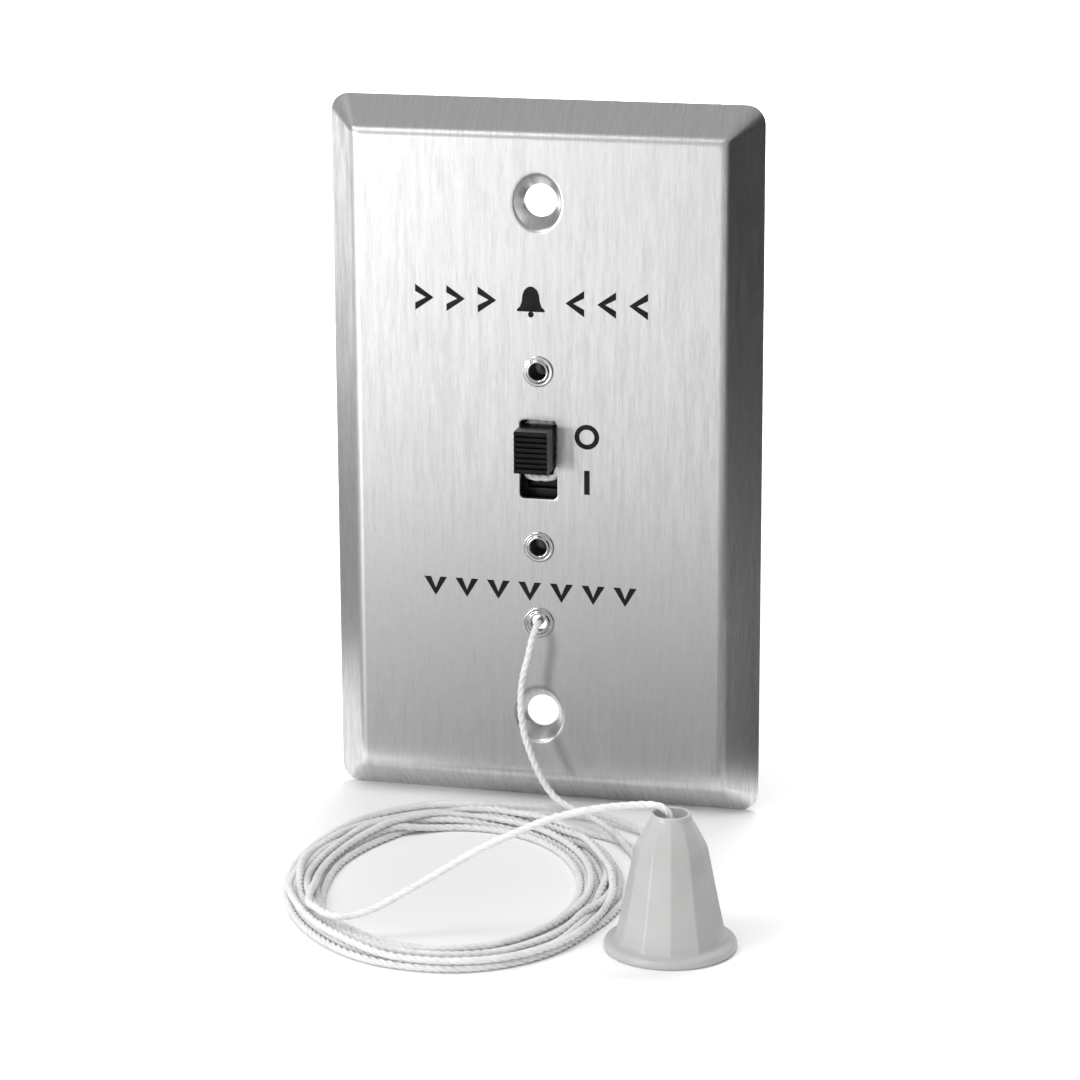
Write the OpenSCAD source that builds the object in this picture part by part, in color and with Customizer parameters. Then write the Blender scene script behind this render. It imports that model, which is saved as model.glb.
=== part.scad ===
// Emergency pull cord switch: a single gang wall plate with a slide switch behind it.
// A cord looped round the slide's neck runs down behind the plate, out through an eyelet,
// lies in an oblong hank and ends in a bell shaped pull.
// Millimetres. X right, Y into the wall, Z up. The origin is on the wall plane, midway
// between the two wall screw holes. The hank and the pull stand level with the plate's foot.

/* [Wall plate] */
// outside width of the plate
plate_w = 69.85; // [60:0.05:80]
// outside height of the plate
plate_h = 114.3; // [100:0.1:130]
// depth of the plate from the wall to its front face
plate_d = 5.6; // [4:0.1:8]
// thickness of the sheet
sheet_t = 0.9; // [0.6:0.05:1.5]
// width of the sloping edge, seen from the front
bevel_w = 5; // [3:0.1:8]
// outside corner radius at the wall
corner_r = 3; // [1:0.1:5]
// distance between the two wall screw holes
screw_pitch = 83.34; // [80:0.01:90]
// diameter of a wall screw hole
screw_hole_d = 4.9; // [3.5:0.1:6]
// diameter of the pressed dimple round a screw hole, at the face
dimple_d = 8.4; // [6:0.1:10]
// depth of the dimple
dimple_deep = 2.5; // [1:0.1:4]

/* [Slide switch] */
// height of the switch's centre above the plate's centre
switch_z = 0.6; // [-3:0.1:3]
// distance between the two rivets that hold the switch
rivet_pitch = 28.58; // [25:0.01:32]
// width of the slot in the plate
slot_w = 6.2; // [5:0.1:8]
// height of the slot in the plate
slot_h = 12.8; // [10:0.1:16]
// how far the slide moves down from off to on
travel = 4.4; // [3:0.1:6]
// width of the knob
knob_w = 5.4; // [4:0.1:7]
// height of the knob
knob_h = 6.8; // [5:0.1:9]
// how far the knob stands out of the plate
knob_out = 5.2; // [3:0.1:8]
// ribs across the knob's front
rib_count = 8; // [4:1:12]
// distance from one contact to the next
contact_pitch = 4.4; // [3:0.1:6]

/* [Cord] */
// diameter of the twisted cord
cord_d = 1.12; // [0.8:0.02:2]
// height of the cord eyelet, measured from the plate's centre
eyelet_z = -26.2; // [-32:0.1:-20]
// outside diameter of the eyelet and rivet heads
head_d = 5; // [4:0.1:6]
// bore of the eyelet and rivets
bore_d = 2.6; // [2:0.1:3.5]

/* [Hank of cord] */
// outside half width of the hank
hank_a = 25.4; // [15:0.1:40]
// outside half length of the hank
hank_b = 35; // [20:0.1:50]
// width of the band of turns
hank_band = 6.8; // [3:0.1:12]
// outside half width of the looser outer turns
loose_a = 27.6; // [15:0.1:40]
// outside half length of the looser outer turns
loose_b = 32.6; // [20:0.1:50]
// width of the band of looser turns
loose_band = 2.6; // [1:0.1:6]
// height of the heap of turns
hank_h = 3.5; // [1:0.1:8]

/* [Bell pull] */
// radius of the flange round the bell's mouth
bell_flange_r = 9.7; // [8:0.1:14]
// height of the bell
bell_h = 20.6; // [15:0.1:30]
// flat sides round the bell
bell_sides = 12; // [8:1:16]
// radius of the cup at the bell's top
cup_r = 2.45; // [1.5:0.05:4]

/* [Hidden] */
foot_z = -plate_h/2;
face_y = -plate_d;
back_y = face_y + sheet_t;
steps = 6;
fine = 64;

// switch body: flange against spacers, can behind it, terminal board closing the can
spacer_l = 2.2;
ear_t = 0.8;
ear_y = back_y + spacer_l;
can_y = ear_y + ear_t;
can_x = 6.35;
can_z = 12;
can_t = 0.7;
board_y = 7.4;
board_t = 1.6;
ear_x = 7.9;
ear_z = 17.4;
tab_w = 2.4;
tab_t = 0.7;
tab_z = 7;
tab_reach = 1.75;
rivet_hole_r = 1.6;
shank_r = 1.55;
spacer_r = 2.8;
lip_h = 0.55;
rivet_web = 0.5;
contact_r = 1.1;
stem_r = 0.85;
lug_pad = 1.3;
lug_t = 0.5;
lug_x = 1.1;
lug_reach = 6.4;
lug_hole_y = 4.6;
lug_hole_r = 0.6;

// slide: neck through the flange, carriage inside the can
slide_z = switch_z + travel/2;
neck_x = 2.1;
neck_z = 2.8;
neck_round = 1.1;
neck_gap = 0.4;
car_x = 5.3;
car_z = 8.7;
car_y0 = can_y + 0.35;
car_y1 = 6.2;
pocket_x = 2.2;
pocket_z = 4;
pocket_y = 3.4;
head_y = 6.55;
bridge_t = 0.3;
bridge_gap = 0.05;
bridge_x = 1.6;
bridge_in = 0.4;
bridge_lip = 1;
ball_r = 1.2;
ball_bore_r = 1.25;
ball_z = -6.3;
ball_y = 2.4;
ball_floor = -3;
ball_x = can_x - can_t - 0.05 - ball_r;
dimple_r = 0.8;

// noose round the neck, and its knot
cord_r = cord_d/2;
noose_y = back_y + spacer_l/2;
noose_x = neck_x + cord_r + 0.05;
noose_z = neck_z + cord_r + 0.05;
noose_drop = 2.2;
noose_round = 1.6;
knot_r = 0.9;
knot_x = noose_x + 0.8;
knot_z = slide_z - 1.9;

// bell pull, knot inside it, and the hank
bell_x = 33.7;
bell_y = -61.8;
body_r = 8.2;
shoulder_r = 5.25;
shoulder_z = 15.8;
crown_r = 3.3;
crown_z = 19.5;
collar_r = 2.95;
floor_z = 15.3;
floor_t = 1.5;
mouth_r = 7.2;
roof_r = 3.9;
cord_hole_r = 0.9;
stop_r = 1.5;
stop_z = floor_z - 0.35 - stop_r;
hank_x = -3.6;
hank_y = -46.2;
hank_turn = 16;
loose_x = -0.8;
loose_y = -42.6;
loose_turn = 5;
hank_n = 48;

// routes, each as [x, y, z] points from one end to the other
inner_route = [
    [3.9, -3.6, -0.1], [4.25, -3.6, -1.6], [4.4, -3.6, -4], [4.4, -3.6, -7.5], [4.3, -3.6, -11],
    [4.1, -3.6, -14], [3.9, -3.6, -17], [3, -3.2, -19.8], [1.7, -2.1, -22.2], [0.7, -1, -24],
    [0.1, -0.8, -25.6], [0, -2.2, -26.2], [0, -4.9, -26.2]];
drop_route = [
    [0, -4.9, -26.2], [0, -6.6, -26.25], [-0.1, -8.1, -27], [-0.4, -9.3, -28.6],
    [-0.8, -9.95, -31], [-1.5, -10.2, -33.8], [-1.9, -10.4, -37.9], [-1.5, -10.6, -42.2],
    [-0.6, -10.7, -45.5], [1.1, -10.9, -49.6], [3.1, -11.3, -52.6], [5.6, -12.2, -54.2],
    [9.3, -14.2, -54.9], [13, -17.2, -55.1]];
tail_route = [
    [-21.4, -61.5, -54.2], [-20.6, -64.6, -54], [-18.6, -67.8, -53.6], [-16.4, -70.2, -53.3],
    [-14, -71.3, -53.1], [-11.3, -70.9, -52.8], [-8.4, -70.1, -51.7], [-5.5, -69.5, -50],
    [0.3, -68.3, -46.4], [6, -67.2, -42.8], [11.7, -66, -39.9], [16, -65.1, -38],
    [20.3, -64.3, -36.7], [24, -63.5, -36], [27, -62.6, -35.75], [29.6, -62, -35.6],
    [31.3, -61.8, -35.6], [32.5, -61.8, -35.95], [33.35, -61.8, -36.8],
    [33.7, -61.8, -38], [33.7, -61.8, -40], [33.7, -61.8, -42.5]];

// points of a rounded rectangle in X and Z at depth y
function round_rect(w, h, r, y, n) = [for (c = [0:3]) for (i = [0:n])
    let (a = 90*c + 90*i/n, sx = (c == 0 || c == 3) ? 1 : -1, sz = (c < 2) ? 1 : -1)
    [sx*(w/2 - r) + r*cos(a), y, sz*(h/2 - r) + r*sin(a)]];

// a closed solid through a list of equal loops; flip turns the faces over
module loft(loops, flip = false) {
    n = len(loops[0]);
    m = len(loops);
    start = [[for (i = [0:n - 1]) i]];
    end = [[for (i = [n - 1:-1:0]) (m - 1)*n + i]];
    sides = [for (j = [0:m - 2]) for (i = [0:n - 1])
        let (k = (i + 1) % n, a = j*n, b = a + n)
        each [[a + k, a + i, b + i], [a + k, b + i, b + k]]];
    all = concat(start, end, sides);
    polyhedron(points = [for (l = loops) each l],
        faces = flip ? [for (f = all) [for (i = [len(f) - 1:-1:0]) f[i]]] : all);
}

// rings of s points round a route; the frame turns with the route by the shortest way
function unit(v) = v/norm(v);
function along(p, i) = unit(p[min(i + 1, len(p) - 1)] - p[max(i - 1, 0)]);
function carry(u, t) = unit(u - (u*t)*t);
function sides_of(p, i, u) = let (t = along(p, i), v = carry(u, t)) i == len(p) - 1
    ? [[v, cross(t, v)]] : concat([[v, cross(t, v)]], sides_of(p, i + 1, v));
function ring(c, uv, r, s) = [for (k = [0:s - 1]) c + r*cos(360*k/s)*uv[0] + r*sin(360*k/s)*uv[1]];
module tube(route, r, s = 8, up = [1, 0, 0.3]) {
    uv = sides_of(route, 0, up);
    loft([for (i = [0:len(route) - 1]) ring(route[i], uv[i], r, s)], true);
}

// smooth route: four points to each span, through the given points
function spline(p, i, t) = let (a = p[max(i - 1, 0)], b = p[i], c = p[i + 1],
    d = p[min(i + 2, len(p) - 1)])
    b + 0.5*t*((c - a) + t*((2*a - 5*b + 4*c - d) + t*(3*b - 3*c + d - a)));
function smooth(p, k) = concat([for (i = [0:len(p) - 2]) for (j = [0:k - 1]) spline(p, i, j/k)],
    [p[len(p) - 1]]);

// a coil spring of wire radius w along +Z from z = 0, closed at both ends
module coil_spring(r, w, l, coils) {
    per = 12;
    n = coils*per;
    tube([for (i = [0:n]) [r*cos(360*i/per), r*sin(360*i/per), w + (l - 2*w)*i/n]], w, 6, [0, 0, 1]);
}

// a ring round the Y axis: outer radius, inner radius, from y0 to y1
module y_tube(ro, ri, y0, y1) {
    translate([0, y0, 0]) rotate([-90, 0, 0]) difference() {
        cylinder(h = y1 - y0, r = ro, $fn = fine);
        translate([0, 0, -1]) cylinder(h = y1 - y0 + 2, r = ri, $fn = fine);
    }
}

// rolled lip of an eyelet, flat side on z = 0, crown at z = h
module rolled_lip(ro, ri, h) {
    rotate_extrude($fn = fine) polygon(concat(
        [for (i = [0:steps]) [ro - h + h*cos(90*i/steps), h*sin(90*i/steps)]],
        [for (i = [steps:-1:0]) [ri + h - h*cos(90*i/steps), h*sin(90*i/steps)]]));
}

// a tubular rivet through the plate, rolled over at both ends; web closes it at the back
module eyelet(z, back, ro_back, web = 0) {
    translate([0, 0, z]) {
        y_tube(shank_r, bore_d/2, face_y, back);
        translate([0, face_y, 0]) rotate([90, 0, 0]) rolled_lip(head_d/2, bore_d/2, lip_h);
        translate([0, back, 0]) rotate([-90, 0, 0]) rolled_lip(ro_back, bore_d/2, lip_h);
        if (web > 0) translate([0, back - web, 0]) rotate([-90, 0, 0])
            cylinder(h = web, r = (bore_d/2 + shank_r)/2, $fn = fine);
    }
}

module hole_y(x, z, r) {
    translate([x, -20, z]) rotate([-90, 0, 0]) cylinder(h = 40, r = r, $fn = fine);
}

module box(x0, x1, y0, y1, z0, z1) {
    translate([x0, y0, z0]) cube([x1 - x0, y1 - y0, z1 - z0]);
}

// ------------------------------------------------------------------ wall plate
slope = atan(plate_d/bevel_w);
rim_in = sheet_t/sin(slope);
face_in = bevel_w + sheet_t*tan(slope/2);
bend = 0.45;

function plate_loop(inset, y) = round_rect(plate_w - 2*inset, plate_h - 2*inset,
    max(corner_r*(1 - inset/bevel_w*0.85), 0.4), y, steps);

module screw_dimple(z) {
    translate([0, face_y + 0.1, z]) rotate([-90, 0, 0])
        cylinder(h = dimple_deep + 0.5, r1 = dimple_d/2 + 1.1, r2 = screw_hole_d/2 + 1, $fn = fine);
}

module screw_sink(z) {
    translate([0, face_y, z]) rotate([-90, 0, 0])
        cylinder(h = dimple_deep, r1 = dimple_d/2, r2 = screw_hole_d/2, $fn = fine);
    hole_y(0, z, screw_hole_d/2);
}

module wall_plate() color([0.78, 0.78, 0.77]) difference() {
    union() {
        difference() {
            loft([plate_loop(0, 0), plate_loop(bevel_w - bend, face_y + bend*plate_d/bevel_w),
                plate_loop(bevel_w - 0.1, face_y + 0.18), plate_loop(bevel_w + bend, face_y)]);
            loft([plate_loop(rim_in - 1, 1.12), plate_loop(face_in, back_y)]);
        }
        for (s = [-1, 1]) screw_dimple(s*screw_pitch/2);
    }
    for (s = [-1, 1]) screw_sink(s*screw_pitch/2);
    for (s = [-1, 1]) hole_y(0, switch_z + s*rivet_pitch/2, rivet_hole_r);
    hole_y(0, eyelet_z, rivet_hole_r);
    box(-slot_w/2, slot_w/2, -10, 0, switch_z - slot_h/2, switch_z + slot_h/2);
}

// ------------------------------------------------------------ rivets and eyelet
module rivet(z) eyelet(z, can_y, head_d/2 - 0.3, rivet_web);
module rivet_upper() color([0.85, 0.85, 0.84]) rivet(switch_z + rivet_pitch/2);
module rivet_lower() color([0.85, 0.85, 0.84]) rivet(switch_z - rivet_pitch/2);
module cord_eyelet() color([0.85, 0.85, 0.84]) eyelet(eyelet_z, back_y, head_d/2 - 0.2);
module spacer(z) {
    translate([0, 0, z]) y_tube(spacer_r, rivet_hole_r, back_y, ear_y);
}
module spacer_upper() color([0.35, 0.28, 0.22]) spacer(switch_z + rivet_pitch/2);
module spacer_lower() color([0.35, 0.28, 0.22]) spacer(switch_z - rivet_pitch/2);

// ------------------------------------------------------------------ switch body
module switch_frame() color([0.7, 0.71, 0.72]) translate([0, 0, switch_z]) difference() {
    union() {
        box(-ear_x, ear_x, ear_y, can_y, -ear_z, ear_z);
        difference() {
            box(-can_x, can_x, can_y, board_y, -can_z, can_z);
            box(can_t - can_x, can_x - can_t, can_y, board_y + 1, can_t - can_z, can_z - can_t);
        }
        for (sx = [-1, 1]) for (sz = [-1, 1]) translate([0, 0, sz*tab_z]) {
            box(min(sx*can_x, sx*(can_x - can_t)), max(sx*can_x, sx*(can_x - can_t)),
                board_y, board_y + board_t + tab_t, -tab_w/2, tab_w/2);
            box(min(sx*can_x, sx*(can_x - tab_reach)), max(sx*can_x, sx*(can_x - tab_reach)),
                board_y + board_t, board_y + board_t + tab_t, -tab_w/2, tab_w/2);
        }
    }
    for (s = [-1, 1]) hole_y(0, s*rivet_pitch/2, rivet_hole_r);
    box(-neck_x - neck_gap, neck_x + neck_gap, ear_y - 1, can_y + 0.01,
        -neck_z - travel/2 - neck_gap, neck_z + travel/2 + neck_gap);
    for (s = [-1, 1]) translate([can_x - can_t - 1, ball_y, ball_z + s*travel/2])
        rotate([0, 90, 0]) cylinder(h = 3, r = dimple_r, $fn = fine);
}

module terminal_board() color([0.45, 0.27, 0.14]) translate([0, 0, switch_z]) difference() {
    box(-can_x, can_x, board_y, board_y + board_t, -can_z, can_z);
    for (sx = [-1, 1]) for (sz = [-1, 1])
        box(sx*can_x - can_t - 0.05, sx*can_x + can_t + 0.05, board_y - 1, board_y + board_t + 1,
            sz*tab_z - tab_w/2 - 0.05, sz*tab_z + tab_w/2 + 0.05);
    for (i = [-1:1]) hole_y(0, i*contact_pitch, stem_r);
}

// rivet contact inside the can, solder lug behind the board
module terminal(i) translate([0, 0, switch_z + i*contact_pitch]) {
    lug_y = board_y + board_t;
    translate([0, head_y, 0]) rotate([-90, 0, 0])
        cylinder(h = board_y - head_y, r = contact_r, $fn = fine);
    translate([0, board_y, 0]) rotate([-90, 0, 0]) cylinder(h = board_t, r = stem_r, $fn = fine);
    difference() {
        union() {
            box(-lug_pad, lug_pad, lug_y, lug_y + lug_t, -lug_pad, lug_pad);
            box(-lug_x, lug_x, lug_y + lug_t, lug_y + lug_reach, -lug_pad, lug_t - lug_pad);
        }
        translate([0, lug_y + lug_hole_y, -2]) cylinder(h = 2, r = lug_hole_r, $fn = fine);
    }
}
module terminal_common() color([0.8, 0.66, 0.35]) terminal(0);
module terminal_alarm() color([0.8, 0.66, 0.35]) terminal(-1);
module terminal_idle() color([0.8, 0.66, 0.35]) terminal(1);

// ------------------------------------------------------------------------ slide
module slider_knob() color([0.06, 0.06, 0.065]) translate([0, 0, slide_z]) {
    rib = knob_h/rib_count;
    tip_y = face_y - knob_out;
    box(-knob_w/2, knob_w/2, tip_y + rib/2, back_y + 0.1, -knob_h/2, knob_h/2);
    for (i = [0:rib_count - 1]) translate([-knob_w/2, tip_y + rib/2, -knob_h/2 + rib*(i + 0.5)])
        rotate([0, 90, 0]) cylinder(h = knob_w, r = rib/2, $fn = 24);
    hull() for (sx = [-1, 1]) for (sz = [-1, 1])
        translate([sx*(neck_x - neck_round), back_y + 0.1, sz*(neck_z - neck_round)])
            rotate([-90, 0, 0]) cylinder(h = car_y0 - back_y - 0.1, r = neck_round, $fn = fine);
    difference() {
        box(-car_x, car_x, car_y0, car_y1, -car_z, car_z);
        box(-pocket_x, pocket_x, pocket_y, car_y1 + 1, -pocket_z, pocket_z);
        translate([ball_floor, ball_y, ball_z]) rotate([0, 90, 0])
            cylinder(h = 20, r = ball_bore_r, $fn = fine);
    }
}

module contact_bridge() color([0.85, 0.5, 0.3]) translate([0, 0, slide_z]) {
    y1 = head_y - bridge_gap;
    z1 = pocket_z - bridge_in;
    box(-bridge_x, bridge_x, y1 - bridge_t, y1, -z1, z1);
    for (z = [-z1, z1 - bridge_t])
        box(-bridge_x, bridge_x, y1 - bridge_t - bridge_lip, y1 - bridge_t, z, z + bridge_t);
}
module contact_spring() color([0.75, 0.75, 0.76]) translate([0, pocket_y, slide_z]) rotate([-90, 0, 0])
    coil_spring(1.5, 0.18, head_y - bridge_gap - bridge_t - pocket_y, 3);
module detent_ball() color([0.8, 0.8, 0.81]) translate([ball_x, ball_y, slide_z + ball_z])
    sphere(r = ball_r, $fn = fine);
module detent_spring() color([0.75, 0.75, 0.76]) translate([ball_floor, ball_y, slide_z + ball_z])
    rotate([0, 90, 0]) coil_spring(0.9, 0.15, ball_x - ball_r - ball_floor, 6);

// ------------------------------------------------------------------------- cord
noose_n = 5;
noose_pts = [for (q = round_rect(2*noose_x, 2*noose_z + noose_drop, noose_round, noose_y, noose_n)) q
    + [0, 0, slide_z - noose_drop/2]];
function loop_dir(p, i) = let (n = len(p)) unit(p[(i + 1) % n] - p[(i + n - 1) % n]);
module cord_noose() color([0.93, 0.93, 0.9]) {
    n = len(noose_pts);
    s = 8;
    pts = [for (i = [0:n - 1]) each ring(noose_pts[i], [[0, 1, 0],
        cross(loop_dir(noose_pts, i), [0, 1, 0])], cord_r, s)];
    polyhedron(points = pts, faces = [for (j = [0:n - 1]) for (i = [0:s - 1])
        let (k = (i + 1) % s, a = j*s, b = ((j + 1) % n)*s)
        each [[a + i, a + k, b + i], [a + k, b + k, b + i]]]);
}
module noose_knot() color([0.93, 0.93, 0.9])
    translate([knot_x, noose_y, knot_z]) sphere(r = knot_r, $fn = 32);
module cord_inner_run() color([0.93, 0.93, 0.9]) tube(smooth(inner_route, 2), cord_r);
module cord_drop() color([0.93, 0.93, 0.9]) tube(smooth(drop_route, 2), cord_r);
module cord_tail() color([0.93, 0.93, 0.9]) tube(tail_route, cord_r, 8, [0, 0.2, 1]);
module end_knot() color([0.93, 0.93, 0.9])
    translate([bell_x, bell_y, foot_z + stop_z]) sphere(r = stop_r, $fn = 32);

// two oblong rings of turns, the looser one spread towards the back of the bell
function oval(a, b) = [for (i = [0:hank_n - 1]) [a*cos(360*i/hank_n), b*sin(360*i/hank_n)]];
module turns(x, y, turn, a, b, band) translate([x, y]) rotate(turn) difference() {
    polygon(oval(a, b));
    polygon(oval(a - band, b - band));
}
module cord_hank() color([0.93, 0.93, 0.9]) translate([0, 0, foot_z]) linear_extrude(height = hank_h)
    union() {
        turns(hank_x, hank_y, hank_turn, hank_a, hank_b, hank_band);
        turns(loose_x, loose_y, loose_turn, loose_a, loose_b, loose_band);
    }

// -------------------------------------------------------------------- bell pull
module pull_bell() color([0.92, 0.92, 0.91]) translate([bell_x, bell_y, foot_z]) difference() {
    union() {
        rotate_extrude($fn = fine) polygon([[0, 0], [bell_flange_r - 0.3, 0], [bell_flange_r, 0.3],
            [bell_flange_r, 0.9], [bell_flange_r - 0.4, 1.4], [0, 1.4]]);
        rotate(12) rotate_extrude($fn = bell_sides)
            polygon([[0, 1.2], [body_r, 1.2], [shoulder_r, shoulder_z], [crown_r, crown_z], [0, crown_z]]);
        translate([0, 0, shoulder_z]) cylinder(h = bell_h - shoulder_z, r = collar_r, $fn = fine);
    }
    translate([0, 0, floor_z + floor_t]) cylinder(h = 10, r = cup_r, $fn = fine);
    cylinder(h = 30, r = cord_hole_r, $fn = fine);
    translate([0, 0, -0.01]) cylinder(h = floor_z + 0.01, r1 = mouth_r, r2 = roof_r, $fn = fine);
}

wall_plate();
rivet_upper();
rivet_lower();
cord_eyelet();
spacer_upper();
spacer_lower();
switch_frame();
terminal_board();
terminal_common();
terminal_alarm();
terminal_idle();
slider_knob();
contact_bridge();
contact_spring();
detent_ball();
detent_spring();
cord_noose();
noose_knot();
cord_inner_run();
cord_drop();
cord_hank();
cord_tail();
end_knot();
pull_bell();
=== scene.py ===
import math

import bmesh
import bpy
import numpy as np
from mathutils import Matrix, Vector
from mathutils.geometry import delaunay_2d_cdt


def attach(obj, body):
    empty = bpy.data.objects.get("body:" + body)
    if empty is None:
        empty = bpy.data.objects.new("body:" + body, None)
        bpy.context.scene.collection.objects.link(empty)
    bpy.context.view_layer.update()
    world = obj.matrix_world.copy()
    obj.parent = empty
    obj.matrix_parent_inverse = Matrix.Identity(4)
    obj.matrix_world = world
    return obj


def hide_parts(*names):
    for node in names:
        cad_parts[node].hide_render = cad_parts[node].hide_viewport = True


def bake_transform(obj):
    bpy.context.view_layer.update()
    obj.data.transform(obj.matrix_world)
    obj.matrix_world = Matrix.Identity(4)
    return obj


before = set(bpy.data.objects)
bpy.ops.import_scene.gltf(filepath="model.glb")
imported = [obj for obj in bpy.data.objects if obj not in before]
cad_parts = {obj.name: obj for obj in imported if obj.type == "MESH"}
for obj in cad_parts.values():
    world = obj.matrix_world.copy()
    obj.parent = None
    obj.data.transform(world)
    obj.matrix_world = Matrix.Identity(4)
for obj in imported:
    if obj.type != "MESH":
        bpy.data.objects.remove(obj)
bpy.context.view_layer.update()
MM = 0.001

# ---------------------------------------------------------------- camera, near the photograph's viewing angle
CAM_PLACE = (137.39, -550.99, 138.16)                   # millimetres
CAM_RIGHT = (0.9701, 0.2428, -0.0044)
CAM_UP = (-0.0587, 0.2521, 0.9659)
CAM_BACK = (0.2356, -0.9368, 0.2588)                    # away from the plate, 15 degrees above the level
SENSOR, FOCAL = 36.0, 121.94

cam_data = bpy.data.cameras.new("camera")
cam_data.sensor_width, cam_data.lens = SENSOR, FOCAL
cam_data.clip_start = 0.02
cam = bpy.data.objects.new("camera", cam_data)
bpy.context.scene.collection.objects.link(cam)
pose = Matrix((Vector(CAM_RIGHT), Vector(CAM_UP), Vector(CAM_BACK))).transposed().to_4x4()
pose.translation = Vector(CAM_PLACE) * MM
cam.matrix_world = pose
bpy.context.scene.camera = cam

# ---------------------------------------------------------------- cord path (millimetres)
FOOT = -57.15                                           # height of the floor and the plate's foot
CORD_D = 1.12
CORD_R = CORD_D / 2
OUTER = (-3.9, -46.2, 25.1, 34.4, math.radians(18))     # outermost turn: centre, half width, half depth, turn
INNER = (-3.2, -47.2, 19.5, 26.4, math.radians(7))      # innermost turn
NESTED = 0.98                                           # a layer's height as a share of the cord's thickness
STEP = 1.25                                             # spacing of the points that settle
ROUNDS, SEARCH_EVERY = 160, 12                          # rounds of settling, and from one search to the next
NEAR = 2.6                                              # stretches closer than this are watched for contact
HELD_START, HELD_END = 42, 74                           # lengths at the cord's ends that stay as drawn
SMOOTHING, SINKING, HOMING = 0.45, 0.012, 0.02          # a round's pull to its bend, down and to its place
GAP = CORD_D * 1.01                                     # distance kept between two stretches of the cord
BELL_C = (33.7, -61.8)
CORD_TO_BELL = 10.4                                     # kept by the centre line from the bell's axis
CORD_TO_WALL = -6.3                                     # kept by the centre line in front of the plate
# the stretches outside the hank: down the plate, the loose loop beside the bell, and the tail into the bell
DROP = [(0, -4.9, -26.2), (0, -6.6, -26.25), (-0.1, -8.1, -27), (-0.4, -9.3, -28.6), (-0.8, -9.95, -31),
        (-1.5, -10.2, -33.8), (-1.9, -10.4, -37.9), (-1.5, -10.6, -42.2), (-0.6, -10.7, -45.5),
        (1.1, -10.9, -49.6), (3.1, -11.3, -52.6), (5.6, -12.2, -54.2), (9.3, -14.2, -54.9),
        (13, -17.2, -55.1)]
BIGHT = [(16.4, -20.8, -55.4), (19.6, -25.4, -55.8), (22.2, -30.2, -56.2), (24.0, -34.6, -56.5),
         (26.0, -38.2, -56.5), (28.8, -38.8, -56.5), (30.6, -36.4, -56.5), (30.4, -32.6, -56.3),
         (28.4, -27.4, -55.7), (24.6, -21.6, -55.0), (19.6, -16.6, -54.2), (13.6, -13.2, -53.6),
         (7.0, -11.2, -53.2)]
TAIL = [(-20.6, -64.6, -53.6), (-18.6, -67.8, -53.3), (-16.4, -70.2, -53.2), (-14, -71.3, -53.1),
        (-11.3, -70.9, -52.8), (-8.4, -70.1, -51.7), (-5.5, -69.5, -50), (0.3, -68.3, -46.4),
        (6, -67.2, -42.8),
        (11.7, -66, -39.9), (16, -65.1, -38), (20.3, -64.3, -36.7), (24, -63.5, -36), (27, -62.6, -35.75),
        (29.6, -62, -35.6), (31.3, -61.8, -35.6), (32.5, -61.8, -35.95), (33.35, -61.8, -36.8),
        (33.7, -61.8, -38), (33.7, -61.8, -40), (33.7, -61.8, -42.5)]
TURNS_FROM, TURNS_TO = 105.0, 196.0 + 360 * 10          # degrees round the hank
SECOND, THIRD = 4.3, 7.6                                # turns of the hank at which a new layer has begun
CLIMB = 0.15                                            # share of a turn that a step up takes


def ramp(t):
    """A smooth step from 0 to 1."""
    t = min(max(t, 0.0), 1.0)
    return t * t * (3 - 2 * t)


def ellipse(oval, theta):
    """The point of an oval at an angle in degrees."""
    x, y, a, b, turn = oval
    t = math.radians(theta) - turn
    return (x + a * math.cos(t) * math.cos(turn) - b * math.sin(t) * math.sin(turn),
            y + a * math.cos(t) * math.sin(turn) + b * math.sin(t) * math.cos(turn))


def lobe(theta, centre, half):
    """A bulge of one round a centre, falling to zero at half a width on both sides."""
    u = (theta - centre) / half
    return math.cos(math.pi / 2 * u) ** 2 if abs(u) < 1 else 0.0


def turn_point(theta):
    """A point of the hank, which has three layers that spiral in, out and in."""
    u = (theta - 20) / 360
    # share is 0 on the outermost turn and 1 on the innermost, and layer counts up from the floor
    if u < SECOND:
        share, layer = u / SECOND, 0.0
    elif u < THIRD:
        share, layer = 0.92 - 0.84 * (u - SECOND) / 3.3, 1.0
    else:
        share, layer = 0.12 + 0.7 * (u - THIRD) / 2.9, 2.0
    layer += ramp((u - (SECOND - CLIMB)) / CLIMB) - (u >= SECOND)
    layer += ramp((u - (THIRD - CLIMB)) / CLIMB) - (u >= THIRD)
    z = FOOT + CORD_R + CORD_D * layer * NESTED
    # the first stretch comes in from above and outside
    z += 2.2 * (1 - ramp((theta - TURNS_FROM) / 75))
    share -= 0.36 * (1 - ramp((theta - TURNS_FROM) / 80))
    # no two turns lie quite alike
    sway = 0.09 * math.sin(math.radians(theta * 0.83 + 40))
    sway += 0.07 * math.sin(math.radians(theta * 1.71 + 115))
    share += sway * ramp((theta - 200) / 120) * ramp((TURNS_TO - theta) / 120)
    (x0, y0), (x1, y1) = ellipse(OUTER, theta), ellipse(INNER, theta)
    x, y = x0 + (x1 - x0) * share, y0 + (y1 - y0) * share
    # one turn strays far towards the bell, and three a little
    far = lobe(theta, 398, 58)
    near = lobe(theta, 390 + 360, 80) * 0.4
    near += lobe(theta, 395 + 5 * 360, 80) * 0.25
    near += lobe(theta, 395 + 8 * 360, 70) * 0.3
    return x + 7.6 * far + 5 * near, y + 3.4 * far + 2.4 * near, z


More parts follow.
